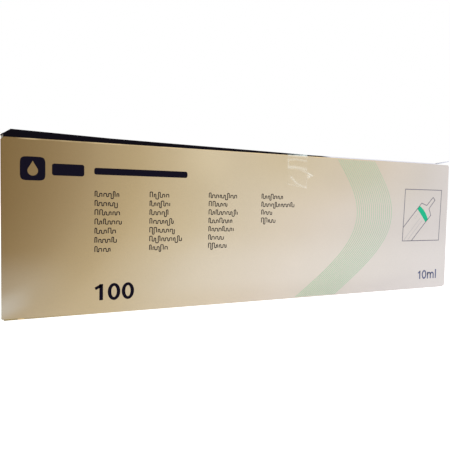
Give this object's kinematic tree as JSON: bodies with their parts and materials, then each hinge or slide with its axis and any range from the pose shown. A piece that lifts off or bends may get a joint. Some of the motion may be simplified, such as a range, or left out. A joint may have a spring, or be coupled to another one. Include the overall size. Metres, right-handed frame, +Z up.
{
  "type": "sealed carton of syringes",
  "caption": "Long printed folding carton of wrapped syringes, its hinged lid tucked in and held shut by a strip of clear tape.",
  "frame": {"origin": "middle of the base, on the surface that the carton stands on", "axes": "+X along the front panel from left to right, +Y from the front panel to the back panel, +Z up"},
  "size_m": [0.394, 0.1501, 0.1234],
  "materials": {
    "printed_board": "satin gold print, navy on the lid",
    "clear_film": "clear adhesive film"
  },
  "bodies": {
    "root": {"carton": "printed_board", "tape": "clear_film"}
  },
  "joints": []
}
